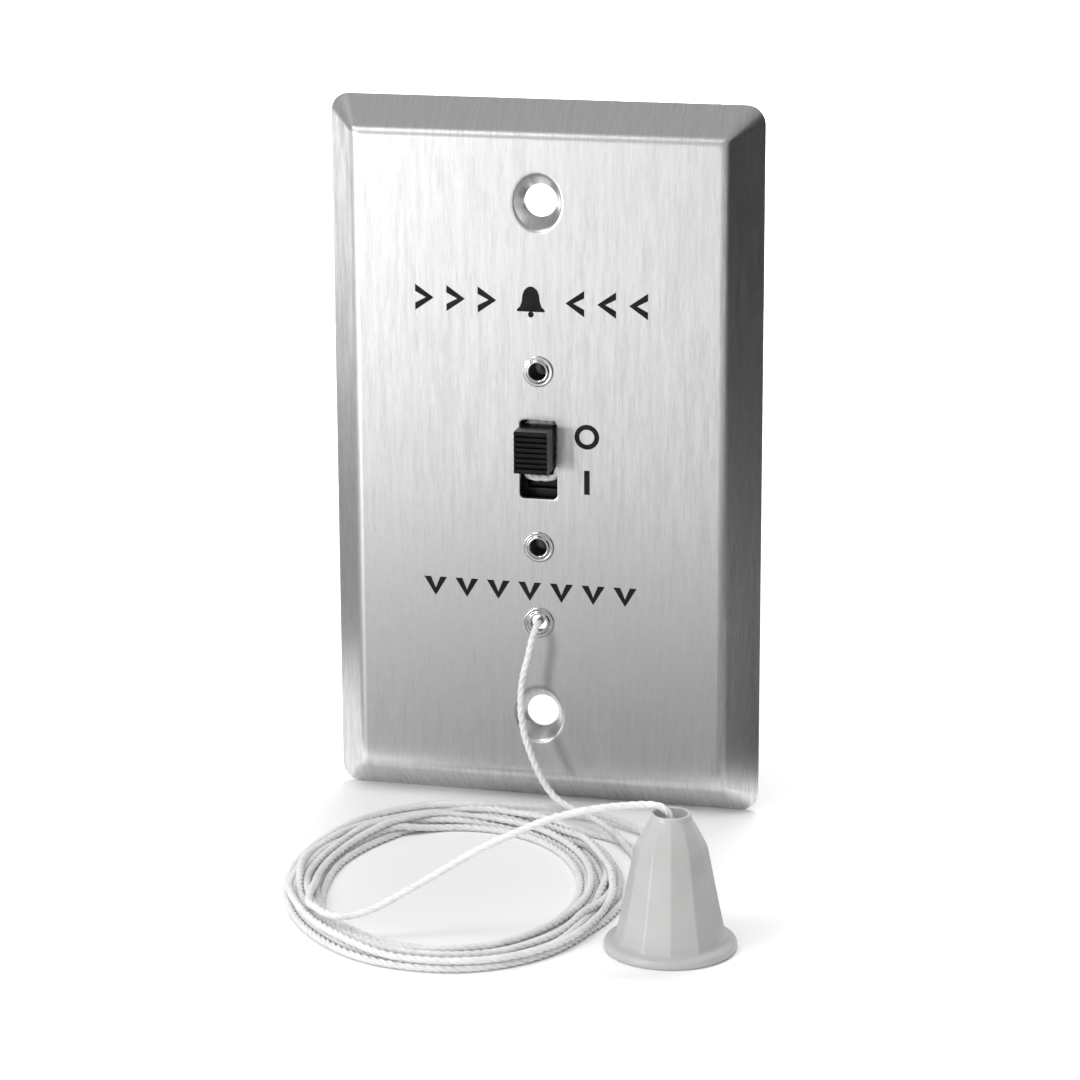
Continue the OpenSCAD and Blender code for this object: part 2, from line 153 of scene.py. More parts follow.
def spline(points, step):
    """A smooth line through all the points, about half a step apart."""
    out = []
    n = len(points)
    for i in range(n - 1):
        a, b, c, d = (np.array(points[k], float) for k in (max(i - 1, 0), i, i + 1, min(i + 2, n - 1)))
        count = max(2, int(np.linalg.norm(c - b) / step * 2))
        for j in range(count):
            t = j / count
            bent = (2 * a - 5 * b + 4 * c - d) + t * (3 * b - 3 * c + d - a)
            out.append(b + 0.5 * t * ((c - a) + t * bent))
    out.append(np.array(points[-1], float))
    return np.array(out)


def resample(p, step):
    """The same line with its points evenly spaced."""
    s = np.concatenate([[0], np.cumsum(np.linalg.norm(np.diff(p, axis=0), axis=1))])
    at = np.linspace(0, s[-1], max(int(round(s[-1] / step)), 2) + 1)
    return np.stack([np.interp(at, s, p[:, k]) for k in range(3)], 1)


def close_pairs(p):
    """Points i and stretches j to j + 1 that lie close together without being neighbours on the cord."""
    n = len(p)
    q = p.astype(np.float32)
    near = []
    for i0 in range(0, n, 256):
        d = ((q[i0:i0 + 256, None] - q[None]) ** 2).sum(2)
        a, b = np.nonzero(d < NEAR ** 2)
        a += i0
        keep = (abs(a - b) > 5) & (b < n - 1)
        near.append(np.stack([a[keep], b[keep]]))
    return np.concatenate(near, 1)


def contact(p, i, j):
    """The push on each point from the stretches j to j + 1 that its cord touches, averaged."""
    e = p[j + 1] - p[j]
    t = np.clip(((p[i] - p[j]) * e).sum(1) / (e * e).sum(1), 0, 1)[:, None]
    v = p[i] - p[j] - t * e
    d = np.linalg.norm(v, axis=1)[:, None]
    hit = d[:, 0] < GAP
    v, d, t = v[hit], np.maximum(d[hit], 1e-6), t[hit]
    ih, jh = i[hit], j[hit]
    push = v / d * (GAP - d) * 0.5
    fix, num = np.zeros_like(p), np.zeros(len(p))
    for idx, w in ((ih, np.ones_like(t)), (jh, -(1 - t)), (jh + 1, -t)):
        for k in range(3):
            fix[:, k] += np.bincount(idx, (w * push)[:, k], len(p))
        num += np.bincount(idx, abs(w[:, 0]), len(p))
    return fix / np.maximum(num, 1)[:, None]


def keep_clear(p, moving):
    """Moves points out of the floor, the plate and the bell's flange."""
    p[moving, 2] = np.maximum(p[moving, 2], FOOT + CORD_R)
    p[moving, 1] = np.minimum(p[moving, 1], CORD_TO_WALL)
    r = p[:, :2] - np.array(BELL_C)
    dist = np.linalg.norm(r, axis=1)
    low = moving & (dist < CORD_TO_BELL) & (p[:, 2] < FOOT + 10)
    p[low, :2] += (r[low] / dist[low, None]) * (CORD_TO_BELL - dist[low])[:, None]


def cord_route():
    """The cord's centre line from the eyelet to the knot in the bell. The hank settles under a light pull
    down, keeping its bends, until each turn lies clear of the others. Both ends stay where they are drawn."""
    turns = [turn_point(t) for t in np.arange(TURNS_FROM, TURNS_TO, 5)]
    p = resample(spline(DROP + BIGHT + turns + TAIL, STEP), STEP)
    s = np.arange(len(p)) * STEP
    free = np.clip((s - HELD_START) / 10, 0, 1) * np.clip((s[-1] - HELD_END - s) / 12, 0, 1)
    free = free[:, None]                                # how far each point may follow its pulls, 0 to 1
    bend = np.zeros_like(p)
    bend[1:-1] = (p[:-2] + p[2:]) / 2 - p[1:-1]
    for _ in range(6):
        bend[1:-1] = (bend[:-2] + 2 * bend[1:-1] + bend[2:]) / 4
    bend[:, 2] *= 0.2
    start = p.copy()
    for it in range(ROUNDS):
        if it % SEARCH_EVERY == 0:
            i, j = close_pairs(p)
        move = np.zeros_like(p)
        lap = (p[:-2] + p[2:]) / 2 - p[1:-1] - bend[1:-1]
        move[1:-1] += SMOOTHING * lap
        move[:, 2] -= SINKING
        move[:, :2] += HOMING * (start[:, :2] - p[:, :2])
        p += move * free
        p += contact(p, i, j) * 1.5 * np.minimum(free * 4, 1)
        # even spacing along the cord
        e = np.diff(p, axis=0)
        long = np.linalg.norm(e, axis=1)[:, None]
        stretch = e / long * (long - STEP) * 0.25
        p[:-1] += stretch * free[:-1]
        p[1:] -= stretch * free[1:]
        keep_clear(p, free[:, 0] > 0)
    return p


# ---------------------------------------------------------------- mesh helpers (millimetres in, metres out)
def add(name, verts, faces, mat, body, slot=None, replaces=(), smooth=True):
    """A new piece with its material, riding on a body and standing for the CAD nodes it hides; its slot is
    not used.
    """
    mesh = bpy.data.meshes.new(name)
    mesh.from_pydata([Vector(v) * MM for v in verts], [], [tuple(f) for f in faces])
    mesh.validate()
    mesh.update()
    if smooth:
        mesh.shade_smooth()
    obj = bpy.data.objects.new(name, mesh)
    bpy.context.scene.collection.objects.link(obj)
    obj.data.materials.append(mat)
    if body:
        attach(obj, body)
    if replaces:
        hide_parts(*replaces)
    return obj


def rings(loops, closed=False, caps=True):
    """Vertices and faces through equal loops; closed joins the last loop to the first."""
    n, m = len(loops[0]), len(loops)
    verts = [tuple(v) for loop in loops for v in loop]
    faces = []
    for j in range(m if closed else m - 1):
        a, b = j * n, ((j + 1) % m) * n
        faces += [(a + i, a + (i + 1) % n, b + (i + 1) % n, b + i) for i in range(n)]
    if caps and not closed:
        faces += [tuple(range(n - 1, -1, -1)), tuple((m - 1) * n + i for i in range(n))]
    return verts, faces


STRANDS, STRAND_POINTS = 3, 5
GROOVE = 0.36                                           # depth between two strands, as a share of the radius


def twisted(path, step=0.4, closed=False, lay=4.2, radius=0.6, start_up=(1, 0, 0.3)):
    """Strands laid together round a path: loops of points whose columns follow the strands."""
    around = STRANDS * STRAND_POINTS
    p = resample(path, step)
    if closed:
        p = p[:-1]
        t = np.roll(p, -1, 0) - np.roll(p, 1, 0)
    else:
        t = np.gradient(p, axis=0)
    t /= np.linalg.norm(t, axis=1)[:, None]
    total = len(p) * step
    turns = total / lay
    if closed:
        turns = round(turns * STRANDS) / STRANDS
    u = np.array(start_up, float)
    us = []
    for i in range(len(p)):
        u = u - t[i] * (u @ t[i])
        u /= np.linalg.norm(u)
        us.append(u)
    us = np.array(us)
    vs = np.cross(t, us)
    drift = 0.0
    if closed:                                   # take up the frame's turn over one lap
        u = us[-1] - t[0] * (us[-1] @ t[0])
        drift = math.atan2(u @ vs[0], u @ us[0])
    loops = []
    for i in range(len(p)):
        spin = 2 * math.pi * turns * i / len(p) - drift * i / len(p)
        loop = []
        for k in range(around):
            s = abs((k % STRAND_POINTS - STRAND_POINTS / 2) / (STRAND_POINTS / 2))
            r = radius * (1 - GROOVE * s ** 2.4)  # s is 1 in the groove and 0.2 near the crown
            a = spin + 2 * math.pi * k / around
            loop.append(p[i] + r * (math.cos(a) * us[i] + math.sin(a) * vs[i]))
        loops.append(loop)
    if closed:
        shift = round((turns - math.floor(turns)) * STRANDS) * STRAND_POINTS
        verts, faces = rings(loops, caps=False)
        a, n = (len(loops) - 1) * around, around
        faces += [(a + i, a + (i + 1) % n, (i + 1 + shift) % n, (i + shift) % n) for i in range(n)]
        return verts, faces
    return rings(loops)


def lathe(profile, z):
    """A closed profile of (radius, y) turned round the line along y through (0, z)."""
    verts, faces = rings([circle(0, z, r, 72, y) for r, y in profile], closed=True)
    return verts, [tuple(reversed(f)) for f in faces]


def circle(x, z, r, n, y, wide=1.0):
    return [(x + wide * r * math.cos(2 * math.pi * k / n), y, z + r * math.sin(2 * math.pi * k / n))
            for k in range(n)]


def round_rect(w, h, r, y, n, cz=0.0):
    """A rectangle with round corners in the plane of the plate, n steps to a corner."""
    out = []
    for c, (sx, sz) in enumerate(((1, 1), (-1, 1), (-1, -1), (1, -1))):
        for i in range(n + 1):
            a = math.radians(90 * c + 90 * i / n)
            out.append((sx * (w / 2 - r) + r * math.cos(a), y, cz + sz * (h / 2 - r) + r * math.sin(a)))
    return out


def join(*parts):
    """One mesh out of several lists of vertices and faces."""
    verts, faces = [], []
    for v, f in parts:
        k = len(verts)
        verts += list(v)
        faces += [tuple(i + k for i in face) for face in f]
    return verts, faces


# ---------------------------------------------------------------- materials
def material(name, colour, metal=0.0, rough=0.4, spec=0.5, subsurface=0.0):
    mat = bpy.data.materials.new(name)
    mat.use_nodes = True
    bsdf = mat.node_tree.nodes["Principled BSDF"]
    bsdf.inputs["Base Color"].default_value = (*colour, 1)
    bsdf.inputs["Metallic"].default_value = metal
    bsdf.inputs["Roughness"].default_value = rough
    bsdf.inputs["Specular IOR Level"].default_value = spec
    bsdf.inputs["Subsurface Weight"].default_value = subsurface
    bsdf.inputs["Subsurface Radius"].default_value = (1.0, 1.0, 1.0)
    bsdf.inputs["Subsurface Scale"].default_value = 0.0008
    return mat, mat.node_tree.nodes, mat.node_tree.links, bsdf


def noise(nodes, links, scale, stretch=(1, 1, 1), detail=3.0, rough=0.55):
    """Noise fixed to the piece, drawn out along the axes whose stretch is small."""
    at = nodes.new("ShaderNodeTexCoord")
    move = nodes.new("ShaderNodeMapping")
    move.inputs["Scale"].default_value = stretch
    tex = nodes.new("ShaderNodeTexNoise")
    tex.inputs["Scale"].default_value = scale
    tex.inputs["Detail"].default_value = detail
    tex.inputs["Roughness"].default_value = rough
    links.new(at.outputs["Object"], move.inputs["Vector"])
    links.new(move.outputs["Vector"], tex.inputs["Vector"])
    return tex.outputs["Fac"]


def spread(nodes, links, value, low, high, from_low=0.3, from_high=0.7):
    """A noise value brought to the range from low to high."""
    r = nodes.new("ShaderNodeMapRange")
    r.inputs["From Min"].default_value, r.inputs["From Max"].default_value = from_low, from_high
    r.inputs["To Min"].default_value, r.inputs["To Max"].default_value = low, high
    links.new(value, r.inputs["Value"])
    return r.outputs["Result"]


def tint(nodes, links, value, dark, light, bsdf):
    m = nodes.new("ShaderNodeMix")
    m.data_type = "RGBA"
    m.inputs["A"].default_value, m.inputs["B"].default_value = (*dark, 1), (*light, 1)
    links.new(value, m.inputs["Factor"])
    links.new(m.outputs["Result"], bsdf.inputs["Base Color"])


def bump(nodes, links, value, bsdf, strength, distance):
    b = nodes.new("ShaderNodeBump")
    b.inputs["Strength"].default_value = strength
    b.inputs["Distance"].default_value = distance
    links.new(value, b.inputs["Height"])
    links.new(b.outputs["Normal"], bsdf.inputs["Normal"])


def brushed(name, dark, light, rough, along="z", scale=5200, strength=0.35, soft=0.10):
    """Metal with fine scratches one way, cloudy patches and a roughness that follows the scratches."""
    mat, nodes, links, bsdf = material(name, light, metal=1.0, rough=rough)
    stretch = {"z": (1, 0.05, 0.05), "x": (0.05, 1, 1), "y": (1, 0.05, 1)}[along]
    fine = noise(nodes, links, scale, stretch, 4.0, rough=0.65)
    broad = noise(nodes, links, scale / 5, tuple(s if s == 1 else 0.08 for s in stretch), 2.0)
    mix = nodes.new("ShaderNodeMath")
    mix.operation = "MULTIPLY_ADD"
    mix.inputs[1].default_value = 0.4
    links.new(broad, mix.inputs[0])
    scaled = nodes.new("ShaderNodeMath")
    scaled.operation = "MULTIPLY"
    scaled.inputs[1].default_value = 0.6
    links.new(fine, scaled.inputs[0])
    links.new(scaled.outputs[0], mix.inputs[2])
    grain = mix.outputs[0]
    tint(nodes, links, spread(nodes, links, grain, 0, 1, 0.36, 0.64), dark, light, bsdf)
    links.new(spread(nodes, links, grain, rough + soft, rough - soft), bsdf.inputs["Roughness"])
    bump(nodes, links, fine, bsdf, strength, 0.00003)
    return mat


def plastic(name, dark, light, rough, spec=0.5, subsurface=0.0, bumpiness=0.06, scale=900):
    """A smooth material with faint clouds in its colour and a fine grain in its roughness and height."""
    mat, nodes, links, bsdf = material(name, light, rough=rough, spec=spec, subsurface=subsurface)
    cloud = noise(nodes, links, scale / 6, detail=3.0)
    tint(nodes, links, spread(nodes, links, cloud, 0, 1), dark, light, bsdf)
    grain = noise(nodes, links, scale * 4, detail=3.0)
    links.new(spread(nodes, links, grain, rough - 0.06, rough + 0.06), bsdf.inputs["Roughness"])
    bump(nodes, links, grain, bsdf, bumpiness, 0.00005)
    return mat


STEEL = brushed("plate_steel", (0.56, 0.56, 0.56), (0.75, 0.75, 0.745), 0.37, scale=7000, strength=0.18)
EYELET = brushed("eyelet_steel", (0.66, 0.66, 0.655), (0.84, 0.84, 0.835), 0.17, scale=3000, strength=0.1,
                 soft=0.04)
# the switch frame's steel is painted near black: painted shade that darkens the view into the slot
FRAME_PAINTED_SHADE = brushed("frame_steel", (0.02, 0.02, 0.02), (0.05, 0.05, 0.05), 0.42, along="x", scale=3500,
                strength=0.2)
BRASS = brushed("terminal_brass", (0.58, 0.46, 0.24), (0.80, 0.68, 0.42), 0.28, along="y", scale=4000,
                strength=0.15)
BRONZE = brushed("bridge_bronze", (0.55, 0.32, 0.18), (0.78, 0.50, 0.32), 0.30, scale=4000, strength=0.15)
WIRE = brushed("spring_steel", (0.45, 0.45, 0.45), (0.66, 0.66, 0.66), 0.25, along="x", scale=5000,
               strength=0.1)
BALL = brushed("ball_steel", (0.72, 0.72, 0.72), (0.84, 0.84, 0.84), 0.10, scale=2500,
               strength=0.03, soft=0.03)
BLACK = plastic("knob_black", (0.002, 0.002, 0.002), (0.006, 0.006, 0.006), 0.24, spec=0.27, bumpiness=0.12,
                scale=1500)
FIBRE = plastic("spacer_fibre", (0.20, 0.14, 0.10), (0.32, 0.24, 0.17), 0.62, bumpiness=0.3, scale=1200)
PHENOLIC = plastic("board_phenolic", (0.13, 0.065, 0.03), (0.21, 0.115, 0.055), 0.42, bumpiness=0.1,
                   scale=800)
BELL = plastic("bell_white", (0.47, 0.47, 0.465), (0.52, 0.52, 0.515), 0.36, subsurface=0.12, bumpiness=0.04)
INK = plastic("legend_ink", (0.003, 0.003, 0.003), (0.012, 0.012, 0.012), 0.6, spec=0.2, bumpiness=0.25,
              scale=2500)
# dark metal for the eyelets' bores and the rivets' blind webs: painted shade inside the holes
BORE_PAINTED_SHADE = brushed("eyelet_bore_painted_shade", (0.10, 0.10, 0.10), (0.24, 0.24, 0.24), 0.38, scale=3000, strength=0.2)


def nylon():
    """White cord: light passes a little way into it, and fine fibres break up its shine."""
    mat, nodes, links, bsdf = material("cord_white", (0.88, 0.88, 0.87), rough=0.42, spec=0.4,
                                        subsurface=0.85)
    bsdf.inputs["Subsurface Scale"].default_value = 0.0016
    cloud = noise(nodes, links, 420, detail=2.0)
    tint(nodes, links, spread(nodes, links, cloud, 0, 1), (0.74, 0.74, 0.73), (0.86, 0.86, 0.855), bsdf)
    fibre = noise(nodes, links, 9000, detail=3.0)
    links.new(spread(nodes, links, fibre, 0.36, 0.5), bsdf.inputs["Roughness"])
    bump(nodes, links, fibre, bsdf, 0.3, 0.00006)
    return mat


CORD = nylon()

# ---------------------------------------------------------------- the cord
SLIDE_Z = 2.8                                           # middle of the slide at rest
NOOSE_Y = -3.6                                          # plane of the noose, between plate and switch
INNER_ROUTE = [(3.6, -3.6, 0.7), (3.9, -3.6, -0.1), (4.25, -3.6, -1.6), (4.4, -3.6, -4), (4.4, -3.6, -7.5),
               (4.3, -3.6, -11), (4.1, -3.6, -14), (3.9, -3.6, -17), (3, -3.2, -19.8), (1.7, -2.1, -22.2),
               (0.7, -1, -24), (0.1, -0.8, -25.6), (0, -2.2, -26.2), (0, -4.9, -26.2)]
END_KNOT = (33.7, -61.8, -43.7)
NOOSE_KNOT = (3.51, -3.6, 0.9)


def tight_knot(centre, size, cord):
    """A closed overhand knot of a reach and of a cord's radius."""
    t = np.linspace(0, 2 * math.pi, 90)
    p = np.stack([np.sin(t) + 2 * np.sin(2 * t), np.cos(t) - 2 * np.cos(2 * t), -1.6 * np.sin(3 * t)], 1)
    return twisted(p * (size - cord) / 3 + np.array(centre), 0.25, True, 2.6, cord)


centre_line = spline([tuple(q) for q in cord_route()], 0.5)
knot = add("end_knot_tied", *tight_knot(END_KNOT, 1.5, 0.5), CORD, "plate", "cord_white", ["end_knot"])
cord = add("pull_cord", *twisted(centre_line), CORD, "plate", "cord_white",
           ["cord_drop", "cord_hank", "cord_tail"])

inner = add("cord_behind_plate", *twisted(spline(INNER_ROUTE, 0.5)), CORD, None, "cord_white",
            ["cord_inner_run"])
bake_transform(inner)
add("noose_knot_tied", *tight_knot(NOOSE_KNOT, 0.95, 0.4), CORD, "slide", "cord_white", ["noose_knot"])

NOOSE_W, NOOSE_H, NOOSE_SAG = 5.42, 9.02, 1.1           # it hangs below the slide's neck
noose = np.array(round_rect(NOOSE_W, NOOSE_H, 1.6, NOOSE_Y, 8, SLIDE_Z - NOOSE_SAG))
noose_mesh = twisted(np.vstack([noose, noose[:1]]), 0.25, True, radius=0.55, start_up=(0, 1, 0))
add("noose_round_neck", *noose_mesh, CORD, "slide", "cord_white", ["cord_noose"])

# ---------------------------------------------------------------- wall plate, pressed from one sheet
PLATE_W, PLATE_H, PLATE_D, SHEET, BEVEL = 69.85, 114.3, 5.6, 0.9, 5.0
FACE_Y = -PLATE_D
CORNER_R, BEND_R = 3, 2.2
SLOT_W, SLOT_H, SLOT_R = 6.2, 12.8, 0.8
HOLE_R = 1.6                                            # holes for the rivets and the cord eyelet
GUARD = 0.35                                            # margin round each hole, for even shading
SCREW_Z, SWITCH_Z, RIVET_Z, EYELET_Z = 41.67, 0.6, 14.29, -26.2
SCREWS = (SCREW_Z, -SCREW_Z)
TUBES = (SWITCH_Z + RIVET_Z, SWITCH_Z - RIVET_Z, EYELET_Z)      # upper rivet, lower rivet, cord eyelet
slope = math.atan2(PLATE_D, BEVEL)
reach = BEND_R * math.tan(slope / 2)
skin = [(0, 0), (0.3, -0.336), (2.4, -2.688)]           # (inset, y) up the sloping edge, then round the bend
for i in range(9):
    a = slope * (1 - i / 8)
    skin.append((BEVEL + reach - BEND_R * math.sin(a), FACE_Y + BEND_R * (1 - math.cos(a))))
loops = [round_rect(PLATE_W - 2 * i, PLATE_H - 2 * i, max(CORNER_R * (1 - i / BEVEL * 0.8), 0.7), y, 8)
         for i, y in skin]
plate_v, plate_f = rings(loops, caps=False)

# (radius, depth) down into a screw hole's dimple
DIMPLE = [(4.85, 0), (4.6, 0.04), (4.38, 0.15), (4.2, 0.33), (3.6, 1.05), (3.1, 1.66), (2.85, 2.0),
          (2.66, 2.3), (2.56, 2.62)]
DIMPLE_NARROW = 0.17                                    # a dimple is taller than it is wide


def hole_rings(grow=0.0):
    """The outlines of the slot, the screw holes' dimples and the rivets' and eyelet's holes."""
    slot = round_rect(SLOT_W + 2 * grow, SLOT_H + 2 * grow, SLOT_R + grow, FACE_Y, 4, SWITCH_Z)
    dimples = [circle(0, z, DIMPLE[0][0] + grow, 72, FACE_Y, 1 - DIMPLE_NARROW) for z in SCREWS]
    return [slot] + dimples + [circle(0, z, HOLE_R + grow, 48, FACE_Y) for z in TUBES]


flat = loops[-1]
points, edges = [], []
for ring in [flat] + hole_rings() + hole_rings(GUARD):
    k = len(points)
    points += [Vector((p[0], p[2])) for p in ring]
    edges += [(k + i, k + (i + 1) % len(ring)) for i in range(len(ring))]
out_v, _, out_f, *_ = delaunay_2d_cdt(points, edges, [], 0, 1e-6)


def in_hole(x, z):
    """Whether a point of the face lies in one of its holes."""
    past_x = max(abs(x) - (SLOT_W / 2 - SLOT_R), 0)     # beyond the middle of the slot's round corner
    past_z = max(abs(z - SWITCH_Z) - (SLOT_H / 2 - SLOT_R), 0)
    return (math.hypot(past_x, past_z) < SLOT_R
            or any(math.hypot(x / (1 - DIMPLE_NARROW), z - c) < DIMPLE[0][0] for c in SCREWS)
            or any(math.hypot(x, z - c) < HOLE_R for c in TUBES))


face_v = [(v[0], FACE_Y, v[1]) for v in out_v]
face_f = [tuple(f) for f in out_f
          if not in_hole(sum(out_v[i][0] for i in f) / 3, sum(out_v[i][1] for i in f) / 3)]
sheets = [(plate_v, plate_f), (face_v, face_f)]
outer_r, bore_r = DIMPLE[0][0], DIMPLE[-1][0]
for z in SCREWS:
    cone = [circle(0, z, r, 72, FACE_Y + d, 1 - DIMPLE_NARROW * (r - bore_r) / (outer_r - bore_r))
            for r, d in DIMPLE]
    sheets.append(rings(cone, caps=False))
plate = add("plate_pressed", *join(*sheets), STEEL, "plate", "plate_steel", ["wall_plate"])
bm = bmesh.new()
bm.from_mesh(plate.data)
bmesh.ops.remove_doubles(bm, verts=bm.verts, dist=2e-6)
bmesh.ops.recalc_face_normals(bm, faces=bm.faces)
front = [f for f in bm.faces if abs(f.calc_center_median().y - FACE_Y * MM) < 1e-6]
if front and front[0].normal.y > 0:
    bmesh.ops.reverse_faces(bm, faces=bm.faces)
bm.to_mesh(plate.data)
bm.free()
solid = plate.modifiers.new("sheet", "SOLIDIFY")
solid.thickness, solid.offset, solid.use_even_offset = SHEET * MM, -1, True


def soften(obj, width, angle):
    """A small bevel on edges sharper than an angle."""
    m = obj.modifiers.new("edge", "BEVEL")
    m.width, m.segments, m.limit_method, m.angle_limit = width * MM, 2, "ANGLE", math.radians(angle)
    n = obj.modifiers.new("normals", "WEIGHTED_NORMAL")
    n.keep_sharp = True
    n.weight = 60


soften(plate, 0.14, 50)

# ---------------------------------------------------------------- rolled eyelets and rivets


def eyelet(name, z, back, flare, node, web=0.0):
    """A tube rolled over at the plate's face and behind the work at y = back, blind where it has a web."""
    bore, shank, head, lip = 1.3, 1.55, 2.5, 0.55
    rim = [(head, 0), (head - 0.03, 0.16), (head - 0.12, 0.27), (head - 0.26, 0.3), (head - 0.42, 0.26),
           (head - 0.54, 0.24), (head - 0.63, 0.3), (head - 0.7, 0.42), (head - 0.8, 0.52),
           (head - 0.92, lip), (head - 1.04, 0.52), (head - 1.14, 0.4), (head - 1.2, 0.2)]
    prof = [(r, FACE_Y - h) for r, h in rim]         # an outer edge, a groove and the inner roll
    prof.append((bore + 0.02, FACE_Y + 0.4))
    prof.append((bore, back - 0.3))
    for i in range(9):
        a = math.pi * (1 - i / 8)
        prof.append(((flare + bore) / 2 + (flare - bore) / 2 * math.cos(a), back + lip * math.sin(a)))
    prof += [(shank + 0.02, back - 0.001), (shank, back - 0.1), (shank, FACE_Y + 0.1),
             (shank + 0.02, FACE_Y + 0.001)]
    turned = [lathe(prof, z)]
    if web:
        dish = [(0.02, back - web + 0.12), (0.6, back - web + 0.1), (1.1, back - web),
                (1.42, back - web - 0.1), (1.42, back), (0.02, back)]
        turned.append(lathe(dish, z))
    obj = add(name, *join(*turned), EYELET, "plate", "eyelet_steel", [node])
    # the bore and the web take the dark metal, painted shade inside the tube
    obj.data.materials.append(BORE_PAINTED_SHADE)
    for f in obj.data.polygons:
        x, y, dz = f.center.x / MM, f.center.y / MM, f.center.z / MM - z
        if math.hypot(x, dz) < bore + 0.16 and y > FACE_Y + 0.05:
            f.material_index = 1
    return obj


eyelet("rivet_upper_rolled", TUBES[0], -1.7, 2.2, "rivet_upper", 0.5)
eyelet("rivet_lower_rolled", TUBES[1], -1.7, 2.2, "rivet_lower", 0.5)
eyelet("cord_eyelet_rolled", EYELET_Z, -4.7, 2.3, "cord_eyelet")

# ---------------------------------------------------------------- bell pull, moulded with twelve flats
SIDES, HALF_SIDE = 12, 15                               # how many, and half of one in degrees
SPREAD = (-15, -14.2, -12.8, -9, -4.5, 0, 4.5, 9, 12.8, 14.2)   # degrees from a side's middle to its points
BELL_TURN = 27                                          # degrees from +X to the middle of the first side
ROUNDED = 0.9965                                        # share of the radius to which its corners are rounded
BELL_LEVELS = [  # height, radius, share of the twelve-sided outline
    (0.0, 9.3, 0), (0.06, 9.55, 0), (0.3, 9.7, 0), (0.9, 9.7, 0), (1.15, 9.58, 0), (1.32, 9.35, 0),
    (1.4, 9.0, 0), (1.42, 8.6, 0.2), (1.55, 8.3, 0.9), (1.9, 8.08, 1), (6, 7.2, 1), (11, 6.2, 1),
    (15.3, 5.36, 1), (15.75, 5.22, 1), (16.1, 5.06, 1), (18.4, 3.88, 1), (19.2, 3.42, 0.7), (19.7, 3.1, 0.2),
    (20.0, 2.96, 0), (20.4, 2.95, 0), (20.53, 2.9, 0), (20.6, 2.78, 0), (20.6, 2.62, 0), (20.54, 2.5, 0),
    (20.4, 2.45, 0), (17.0, 2.42, 0), (16.84, 2.36, 0), (16.8, 2.2, 0), (16.8, 1.05, 0), (16.74, 0.94, 0),
    (16.6, 0.9, 0), (15.5, 0.9, 0), (15.34, 0.95, 0), (15.3, 1.1, 0), (15.3, 3.7, 0), (15.2, 3.85, 0),
    (15.0, 3.96, 0), (8, 5.5, 0), (1.0, 7.0, 0), (0.1, 7.2, 0), (0.02, 7.3, 0), (0.0, 7.5, 0)]
loops = []
for h, r, p in BELL_LEVELS:
    loop = []
    for s in range(SIDES):
        for d in SPREAD:
            a = math.radians(BELL_TURN + 2 * HALF_SIDE * s + d)
            flat_r = r * math.cos(math.radians(HALF_SIDE)) / math.cos(math.radians(d))
            rr = r + (min(flat_r, r * ROUNDED) - r) * p
            loop.append((BELL_C[0] + rr * math.cos(a), BELL_C[1] + rr * math.sin(a), FOOT + h))
    loops.append(loop)
add("bell_moulded", *rings(loops, closed=True), BELL, "bell", "bell_white", ["pull_bell"])

# ---------------------------------------------------------------- springs


def spring(name, base, along, radius, wire, length, turns, node):
    """Round wire wound along x or y from its base."""
    n = turns * 24
    path = []
    for i in range(n + 1):
        a, h = 2 * math.pi * i / 24, wire + (length - 2 * wire) * i / n
        x, y = radius * math.cos(a), radius * math.sin(a)
        path.append((x, h, y) if along == "y" else (h, x, y))
    p = np.array(path) + np.array(base)
    t = np.gradient(p, axis=0)
    t /= np.linalg.norm(t, axis=1)[:, None]
    axis = np.array((0, 1, 0) if along == "y" else (1, 0, 0), float)
    loops = []
    for q, d in zip(p, t):
        u = axis - d * (axis @ d)
        u /= np.linalg.norm(u)
        v = np.cross(d, u)
        loops.append([q + wire * (math.cos(math.pi * k / 4) * u + math.sin(math.pi * k / 4) * v)
                      for k in range(8)])
    return add(name, *rings(loops), WIRE, "slide", "spring_steel", [node])


spring("contact_spring_wound", (0, 3.4, SLIDE_Z), "y", 1.5, 0.18, 2.8, 3, "contact_spring")
spring("detent_spring_wound", (-3, 2.4, SLIDE_Z - 6.3), "x", 0.9, 0.15, 6.2, 6, "detent_spring")

# ---------------------------------------------------------------- CAD pieces whose shape is right
KEPT = [("slider_knob", BLACK, 0.16), ("switch_frame", FRAME_PAINTED_SHADE, 0.12), ("terminal_board", PHENOLIC, 0.12),
        ("terminal_common", BRASS, 0.08), ("terminal_alarm", BRASS, 0.08), ("terminal_idle", BRASS, 0.08),
        ("contact_bridge", BRONZE, 0.05), ("spacer_upper", FIBRE, 0.12), ("spacer_lower", FIBRE, 0.12),
        ("detent_ball", BALL, 0)]                       # node, material, width of the softened edges
for node, mat, width in KEPT:
    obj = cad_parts[node]
    obj.data.materials.clear()
    obj.data.materials.append(mat)
    if width:
        soften(obj, width, 40)

# ---------------------------------------------------------------- printed marks, in place of the wording


def prism(outline, hole=None, lift=0.03):
    """A flat mark standing a hair out of the face; outline and hole are equal lists of (x, z)."""
    low, high = FACE_Y + 0.02, FACE_Y - lift
    sides = [(outline, low), (outline, high)] + ([(hole, high), (hole, low)] if hole else [])
    return rings([[(x, y, z) for x, z in ring] for ring, y in sides], closed=bool(hole))


def bar(x0, x1, z0, z1):
    return prism([(x0, z0), (x1, z0), (x1, z1), (x0, z1)])


def disc(x, z, r, n=40):
    return [(x + r * math.cos(2 * math.pi * k / n), z + r * math.sin(2 * math.pi * k / n)) for k in range(n)]


